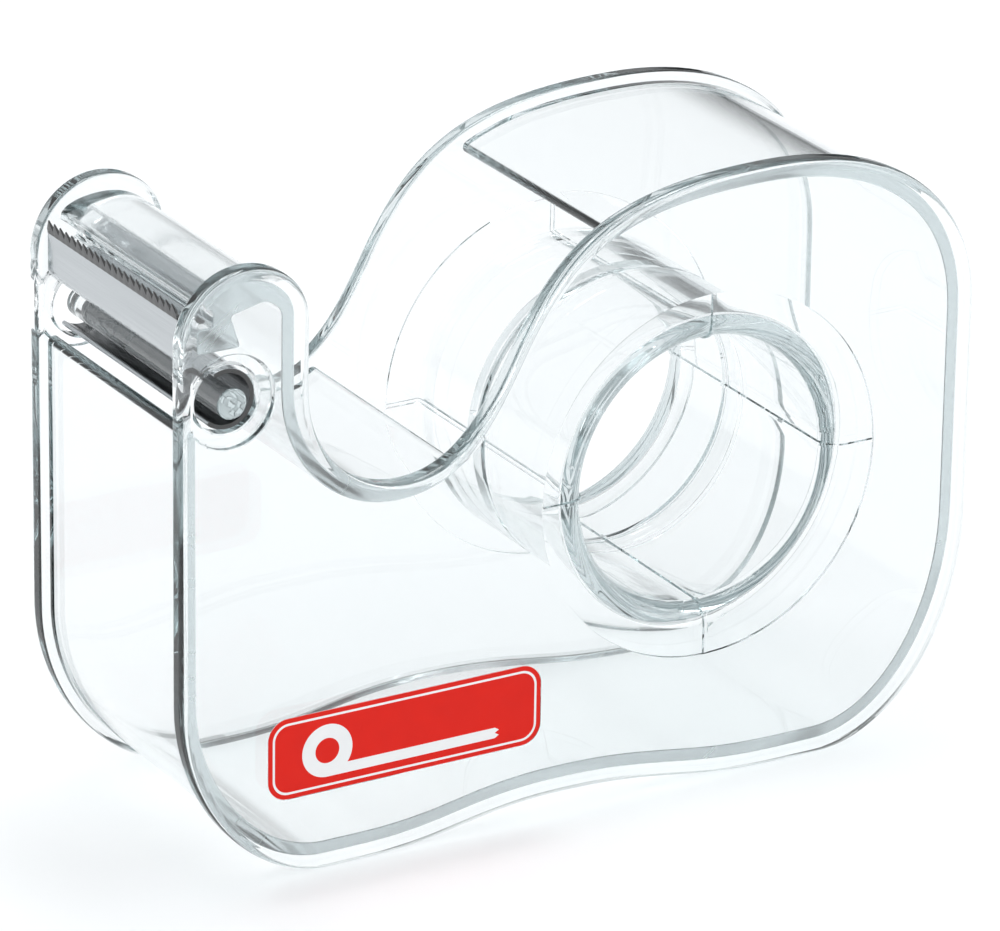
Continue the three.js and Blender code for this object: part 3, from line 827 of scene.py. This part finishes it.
# %% [markdown]
# ## The body
#
# Now the first moulding comes together: the fixed plate, its hub half and both walls, welded into one
# closed skin that stands for the CAD node of the same part. A mould is polished where the user looks
# through it. The free edges of the walls and the top of the guide are left a little matt, and that is
# stored on the mesh as a number for each face, which the material adds to its roughness. A second
# material would be wrong here, because clear plastic that absorbs light has to be one material all over.

# %% How matt the skins are
EDGE_MATT = 0.22
GUIDE_MATT = 0.12
BRUSHED_BAND = 2.6
print("roughness added to wall edges", EDGE_MATT, "and to the guide", GUIDE_MATT)

# %% Build the body
wall_root, wall_surfaces = wall_parts(wall_line(), FAR_INNER, COVER_INNER + SHELL_GAP)
nose = nose_line()
brushed = (nose[:, 1] > GUIDE_TOP - BRUSHED_BAND) & (nose[:, 0] < NOSE_REAR) & (inwards(nose)[:, 1] < -0.2)
nose_root, nose_surfaces = wall_parts(nose, FAR_INNER, COVER_INNER + SHELL_GAP, np.where(brushed, 2, 0))
body_parts = plate_parts(FAR_FACE, -1, body_hub(), inner_holes=[wall_root, nose_root])
body_parts += wall_surfaces + nose_surfaces
body_piece = make_piece("clear_body", body_parts, [BODY_CLEAR], [0.0, EDGE_MATT, GUIDE_MATT])
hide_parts("body_shell")
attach(body_piece, "body")

# %% [markdown]
# ## The label
#
# The real mark is a small glossy print, low on the cover. Here it is a plain red panel with a generic
# picture of a roll of tape. It is drawn in geometry, because an edge made of
# points stays crisp from any distance: the white shapes are holes in the red face, filled with white.

# %% Label lines
LABEL_LOW, LABEL_HIGH = (in_mm(corner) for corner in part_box("label"))
LABEL_THICK = 0.08
POCKET = 0.1
LABEL_X, LABEL_Z = (LABEL_LOW[0] + LABEL_HIGH[0]) / 2, (LABEL_LOW[2] + LABEL_HIGH[2]) / 2
LABEL_SIZE = LABEL_HIGH - LABEL_LOW


def rounded_box(width, height, radius, steps=12):
    """A rounded rectangle about the label's middle, counter-clockwise: four quarter circles."""
    angle = np.linspace(0, pi / 2, steps)
    arms = np.array([[width / 2 - radius, height / 2 - radius]])
    corners = [(1, 1), (-1, 1), (-1, -1), (1, -1)]
    parts = []
    for turn, sign in enumerate(corners):
        swing_angle = angle + turn * pi / 2
        parts.append(arms * sign + radius * np.stack([np.cos(swing_angle), np.sin(swing_angle)], axis=1))
    return np.concatenate(parts) + (LABEL_X, LABEL_Z)


def circle(x, z, radius, count=64):
    """A circle about a point given from the label's middle."""
    angle = np.linspace(0, 2 * pi, count, endpoint=False)
    return np.stack([LABEL_X + x + radius * np.cos(angle), LABEL_Z + z + radius * np.sin(angle)], axis=1)


def tape_sign():
    """A roll with its free end: a circle whose lower side runs out to the right and ends in teeth."""
    centre, radius, strip = -6.6, 2.1, 0.85
    angle = np.linspace(-0.5 * pi + 2 * pi, -0.5 * pi + np.arccos(1 - strip / radius), 80)
    roll = np.stack([centre + radius * np.cos(angle), radius * np.sin(angle)], axis=1)
    low_edge, high_edge, end = -radius, roll[-1, 1], 7.6
    teeth = np.linspace(high_edge, low_edge, 5)
    zigzag = np.stack([end + 0.35 * (np.arange(5) % 2), teeth], axis=1)
    return np.concatenate([roll, zigzag])[::-1] + (LABEL_X, LABEL_Z)


LABEL_MARGIN = 0.35
LABEL_LINE = 0.18
LABEL_CORNER = 1.6
label_edge = rounded_box(LABEL_SIZE[0], LABEL_SIZE[2], LABEL_CORNER)
frame_out = rounded_box(LABEL_SIZE[0] - 2 * LABEL_MARGIN, LABEL_SIZE[2] - 2 * LABEL_MARGIN, 1.3)
inner_margin = 2 * (LABEL_MARGIN + LABEL_LINE)
frame_in = rounded_box(LABEL_SIZE[0] - inner_margin, LABEL_SIZE[2] - inner_margin, 1.15)
sign = tape_sign()
sign_hole = circle(-6.6, 0.0, 1.0)
print("label", np.round(LABEL_SIZE, 2), "sign points", len(sign))

# %% Build the label
front_y, back_y = COVER_FACE, COVER_FACE + LABEL_THICK
label_parts = [
    band([place(label_edge, front_y), place(label_edge, back_y)]),
    face_between([place(label_edge, back_y)]),
    face_between([place(label_edge, front_y), place(frame_out, front_y)]),
    face_between([place(frame_out, front_y), place(frame_in, front_y)], 1),
    face_between([place(frame_in, front_y), place(sign, front_y)]),
    face_between([place(sign, front_y), place(sign_hole, front_y)], 1),
    face_between([place(sign_hole, front_y)]),
]
label_piece = make_piece("printed_label", label_parts, [RED_INK, WHITE_INK])
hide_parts("label")
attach(label_piece, "cover")

# %% [markdown]
# ## The cover
#
# The second moulding is a plate with the long half of the hub. A pocket a tenth of a millimetre deep
# takes the label, so that the print lies flush and the box of the object stays as the CAD has it.

# %% Build the cover
pocket_edge = rounded_box(LABEL_SIZE[0] + 0.1, LABEL_SIZE[2] + 0.1, 1.65)
pocket_rings = [place(pocket_edge, COVER_FACE), place(pocket_edge, COVER_FACE + POCKET)]
cover_parts = plate_parts(COVER_FACE, 1, cover_hub(), face_holes=[pocket_rings[0]])
cover_parts += [band(pocket_rings), face_between([pocket_rings[1]])]
cover_piece = make_piece("clear_cover", cover_parts, [COVER_CLEAR], [0.0])
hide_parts("side_cover")
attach(cover_piece, "cover")

# %% [markdown]
# ## The cutter
#
# One strip of steel does it all. Its toothed top edge cuts, its upright face takes the push of the tape,
# a tab reaches back under the guide's lip, and the lower part is rolled into an open barrel that
# turns in the holes of both plates. The sheet is a line in side view with a thickness, swept across.

# %% The sheet's line
SHEET = 0.35
FACE_X = PIVOT_X - 3.05
TAB_Z = PIVOT_Z + 6.2
FOLD_Z = PIVOT_Z + 3.0
BARREL = PIVOT_HOLE - SHELL_GAP - SHEET / 2
CUTTER_LOW = COVER_INNER + SHELL_GAP
CUTTER_HIGH = FAR_INNER - SHELL_GAP
JOURNAL = 1.0
JOIN = 0.05
TAB_SHORT = 4.0
BARREL_FROM, BARREL_TO = 112, -128


def barrel_path():
    """The barrel's middle line: an arc of constant radius from the front top, round the rear, to below."""
    angle = np.radians(np.linspace(BARREL_FROM, BARREL_TO, 56))
    return np.stack([PIVOT_X + BARREL * np.cos(angle), PIVOT_Z + BARREL * np.sin(angle)], axis=1)


def thick_line(path):
    """A closed line round a path: half the sheet's thickness to each side, with round ends."""
    travel = np.gradient(path, axis=0)
    travel /= np.linalg.norm(travel, axis=1, keepdims=True)
    left = SHEET / 2 * np.stack([-travel[:, 1], travel[:, 0]], axis=1)
    there, back = path - left, (path + left)[::-1]
    far_end, near_end = half_circle(there[-1], back[0], 5), half_circle(back[-1], there[0], 5)
    return np.concatenate([there, far_end, back, near_end])


def spread(path, step=0.12):
    """The same path with points at even small steps, found by walking its length."""
    length = np.concatenate([[0], np.cumsum(np.linalg.norm(np.diff(path, axis=0), axis=1))])
    even = np.linspace(0, length[-1], int(length[-1] / step))
    return np.stack([np.interp(even, length, path[:, 0]), np.interp(even, length, path[:, 1])], axis=1)


def sheet_parts(path, y_low, y_high, rolled=0):
    """A swept sheet: its sides and two flat sheared ends, with the cut edge eased by a hair.

    The last rolled points of the path are barrel. Its inside, which is the first side of the line, gets the
    darker steel: partly its duller rolled face, partly painted shade of the hollow.
    """
    line = thick_line(path)
    ease = 0.01
    left = inwards(line)
    column = np.arange(len(line))
    dull_and_shaded = (column >= len(path) - rolled) & (column < len(path))
    rings = [place(line + ease * left, y_low), place(line, y_low + ease),
             place(line, y_high - ease), place(line + ease * left, y_high)]
    points, quads, smooth, _ = band(rings)
    sides = (points, quads, smooth, np.tile(np.where(dull_and_shaded, 2, 0), len(rings) - 1))
    # The sheared ends take slot 1, the near-black steel, a painted dark reflection.
    return [sides, face_between([rings[0]], 1), face_between([rings[-1]], 1)]


barrel = barrel_path()
lead_in = barrel[0] + 4.0 * (barrel[0] - barrel[1])
upright = rounded_path([(FACE_X, TAB_Z), (FACE_X, FOLD_Z), lead_in, barrel[0]], 0.5)
sheet = np.concatenate([upright, barrel[1:]])
tab = np.array([(FACE_X + 0.06, TAB_Z - SHEET / 2), (FACE_X + 1.5, TAB_Z - SHEET / 2)])
print("sheet", len(sheet), "points, barrel radius", BARREL)

# %% [markdown]
# The teeth are ground from the same strip. A zigzag of heights runs along the edge. Each column of
# the grid is a small section of the strip that gets thinner towards its tip and leans forwards.

# %% The teeth
TEETH = 22
TOOTH_HEIGHT = 1.1
TOOTH_ROOT = 0.34
TOOTH_THINNING = 0.72
TOOTH_LEAN = 0.18


def teeth_parts(y_low, y_high):
    """Columns at every notch and tip: height jumps between root and tip, thickness shrinks with height."""
    y = np.linspace(y_low, y_high, 2 * TEETH + 1)
    height = np.where(np.arange(len(y)) % 2, TOOTH_HEIGHT, TOOTH_ROOT)
    thick = SHEET * (1 - TOOTH_THINNING * height / TOOTH_HEIGHT)
    front = np.full(len(y), FACE_X - SHEET / 2 + 0.01)
    base = np.full(len(y), TAB_Z - 0.1)
    lean = front - TOOTH_LEAN * height
    section = [(front, base), (lean, TAB_Z + height), (lean + thick, TAB_Z + height),
               (front + SHEET - 0.02, base)]
    grid = np.stack([np.stack([x, y, z], axis=1) for x, z in section], axis=1)
    # Every face of the teeth takes slot 1, the near-black steel: a painted dark reflection.
    points, quads, _, _ = band(grid)
    caps = [(grid[i], [[0, 1, 2, 3]], False, 1) for i in (0, -1)]
    return [(points, quads, False, 1), *caps]


turns = len(barrel)
cutter_parts = (sheet_parts(sheet, CUTTER_LOW, CUTTER_HIGH, turns)
                + sheet_parts(barrel, COVER_INNER - JOURNAL, CUTTER_LOW + JOIN, turns)
                + sheet_parts(barrel, CUTTER_HIGH - JOIN, FAR_INNER + JOURNAL, turns)
                + sheet_parts(spread(tab), CUTTER_LOW + 0.03, CUTTER_HIGH - TAB_SHORT)
                + teeth_parts(CUTTER_LOW, CUTTER_HIGH))
cutter_piece = make_piece("steel_cutter", cutter_parts, [STEEL, PAINTED_DARK_STEEL, DULL_AND_SHADED_STEEL])
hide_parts("cutter_blade")
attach(cutter_piece, "cutter")

# %% [markdown]
# ## The rod
#
# A clear rod lies in the barrel. Its ends show in the pivot holes, each with an eased edge and the
# small dimple that a moulding gate leaves. It is a profile turned about its own axis.

# %% Build the rod
ROD_LOW, ROD_HIGH = (in_mm(corner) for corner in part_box("cutter_rod"))
ROD_X, ROD_Z = (ROD_LOW[0] + ROD_HIGH[0]) / 2, (ROD_LOW[2] + ROD_HIGH[2]) / 2
ROD_RADIUS = (ROD_HIGH[2] - ROD_LOW[2]) / 2
ROD_EASE = 0.2


def rod_rings(count=64):
    """Rings of a turned rod: dimple, flat end, eased edge, the long side and the same at the other end."""
    end = [(0.32, 0.10), (0.40, 0.02), (0.46, 0.0), (ROD_RADIUS - ROD_EASE, 0.0)]
    end += [(ROD_RADIUS - ROD_EASE * (1 - sin(a)), ROD_EASE * (1 - cos(a))) for a in QUARTER[1:]]
    end += [(ROD_RADIUS, ROD_EASE + HOLD)]
    angle = np.linspace(0, 2 * pi, count, endpoint=False)
    places = [(r, ROD_LOW[1] + d) for r, d in end] + [(r, ROD_HIGH[1] - d) for r, d in end[::-1]]
    return [np.stack([ROD_X + r * np.cos(angle), np.full(count, y), ROD_Z + r * np.sin(angle)], axis=1)
            for r, y in places]


rod = rod_rings()
rod_parts = [band(rod), face_between([rod[0]]), face_between([rod[-1]])]
rod_piece = make_piece("clear_rod", rod_parts, [ROD_CLEAR])
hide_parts("cutter_rod")
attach(rod_piece, "cutter")

# %% [markdown]
# ## Stage, light and camera
#
# Clear objects are lit by what surrounds them. The floor is plain and pale, and it shows through the flat
# walls. It is a single large square, whose edge is never in view.

# %% Floor
reach = 2.0
floor_mesh = bpy.data.meshes.new("floor")
floor_mesh.from_pydata([(-reach, -reach, 0), (reach, -reach, 0), (reach, reach, 0), (-reach, reach, 0)],
                       [], [(0, 1, 2, 3)])
floor = bpy.data.objects.new("floor", floor_mesh)
bpy.context.scene.collection.objects.link(floor)
floor_material, floor_tree, floor_shader, floor_output = fresh("pale_floor")
floor_shader.inputs["Base Color"].default_value = (0.92, 0.925, 0.93, 1)
floor_shader.inputs["Roughness"].default_value = 0.9
floor_shader.inputs["Specular IOR Level"].default_value = 0.0
floor_tree.links.new(floor_shader.outputs[0], floor_output.inputs["Surface"])
floor_mesh.materials.append(floor_material)
print("floor", 2 * reach, "m wide")

# %% [markdown]
# The room is a bright tent, a little cooler near the horizon. On the side away from the camera a low dark
# band stands in for the end of the table. Plastic that lies nearly level mirrors it, so it draws the
# grey stripes on the roof and the guide, while the upright walls show only the floor behind them.

# %% Room light
BRIGHTNESS = 0.84
BAND_DARK = 0.88
BAND_FROM, BAND_TO = 0.10, 0.27
FAR_FROM, FAR_TO = 0.75, 0.92
world = bpy.data.worlds.new("studio")
bpy.context.scene.world = world
world.use_nodes = True
tree = world.node_tree
tree.nodes.clear()
where = node(tree, "ShaderNodeTexCoord")
parts = node(tree, "ShaderNodeSeparateXYZ", [(0, where.outputs["Generated"])])
height_ramp = node(tree, "ShaderNodeValToRGB", [(0, parts.outputs["Z"])])
height_ramp.color_ramp.elements[0].position = 0.0
height_ramp.color_ramp.elements[0].color = (0.82, 0.86, 0.88, 1)
height_ramp.color_ramp.elements[1].position = 0.35
height_ramp.color_ramp.elements[1].color = (0.96, 0.985, 1.0, 1)
far_side = node(tree, "ShaderNodeVectorMath", [(0, where.outputs["Generated"]), (1, (0.53, 0.85, 0.0))],
                operation="DOT_PRODUCT")
side_mask = node(tree, "ShaderNodeMapRange",
                 [("Value", far_side.outputs["Value"]), ("From Min", FAR_FROM), ("From Max", FAR_TO)],
                 interpolation_type="SMOOTHSTEP")
low_band = node(tree, "ShaderNodeMapRange",
                [("Value", parts.outputs["Z"]), ("From Min", BAND_FROM), ("From Max", BAND_TO),
                 ("To Min", BAND_DARK), ("To Max", 0.0)], interpolation_type="SMOOTHSTEP")
darkness = node(tree, "ShaderNodeMath", [(0, side_mask.outputs[0]), (1, low_band.outputs[0])],
                operation="MULTIPLY")
strength = node(tree, "ShaderNodeMath", [(0, darkness.outputs[0]), (1, -BRIGHTNESS), (2, BRIGHTNESS)],
                operation="MULTIPLY_ADD")
background = node(tree, "ShaderNodeBackground",
                  [("Color", height_ramp.outputs[0]), ("Strength", strength.outputs[0])])
node(tree, "ShaderNodeOutputWorld", [("Surface", background.outputs[0])])
print("room light has", len(tree.nodes), "nodes")

# %% [markdown]
# Three soft boxes add the highlights: one overhead, a broad one on the left and a narrow one on the right.

# %% Soft boxes


def soft_box(name, place_at, aim, size, power, colour=(1, 1, 1)):
    """A rectangular area light at a place, turned to look at its aim."""
    light = bpy.data.lights.new(name, "AREA")
    light.shape = "RECTANGLE"
    light.size, light.size_y = size
    light.energy = power
    light.color = colour
    lamp = bpy.data.objects.new(name, light)
    lamp.location = place_at
    lamp.rotation_euler = (Vector(aim) - Vector(place_at)).to_track_quat("-Z", "Y").to_euler()
    bpy.context.scene.collection.objects.link(lamp)
    return lamp


middle = (cad_low + cad_high) / 2
soft_box("overhead", (0.05, 0.15, 0.9), middle, (0.45, 0.4), 2.6)
soft_box("left_window", (-0.9, -0.35, 0.35), middle, (0.5, 0.7), 2.1)
soft_box("right_window", (0.75, -0.6, 0.5), middle, (0.25, 0.8), 1.3)
print("three soft boxes round", tuple(round(c, 3) for c in middle))

# %% [markdown]
# The camera stands to the left of the cover, looking down a little, from far enough away that the two
# plates look nearly the same size. Its place is worked out from two angles and a distance.

# %% Camera
AZIMUTH, ELEVATION, ROLL = radians(-30.65), radians(22.3), radians(0.88)
DISTANCE = 0.5378
LENS = 257.6
back = Vector((sin(AZIMUTH) * cos(ELEVATION), -cos(AZIMUTH) * cos(ELEVATION), sin(ELEVATION)))
aim = Vector((-0.5, 0.0, 23.65)) * MM
camera_data = bpy.data.cameras.new("camera")
camera_data.sensor_width = 36.0
camera_data.lens = LENS
camera_data.clip_start = 0.01
camera = bpy.data.objects.new("camera", camera_data)
camera.location = aim + back * DISTANCE
turn = (-back).to_track_quat("-Z", "Y").to_matrix().to_4x4()
camera.matrix_world = Matrix.Translation(camera.location) @ turn @ Matrix.Rotation(ROLL, 4, "Z")
bpy.context.scene.collection.objects.link(camera)
bpy.context.scene.camera = camera
print("camera", tuple(round(c, 3) for c in camera.location))

# %% [markdown]
# Light that has entered a wall end-on runs along it and turns back from side to side dozens of times. Each
# turn is one bounce to the renderer, and with its usual limit of four such paths would end in black
# lines. Light focused through the plastic is kept as well, so that the floor inside stays bright.

# %% Light paths
cycles = bpy.context.scene.cycles
cycles.max_bounces = 36
cycles.transmission_bounces = 32
cycles.glossy_bounces = 24
cycles.transparent_max_bounces = 48
cycles.caustics_reflective = False
cycles.caustics_refractive = True
bpy.context.scene.view_settings.view_transform = "Standard"
print("bounces", cycles.max_bounces, "of which mirrored", cycles.glossy_bounces)
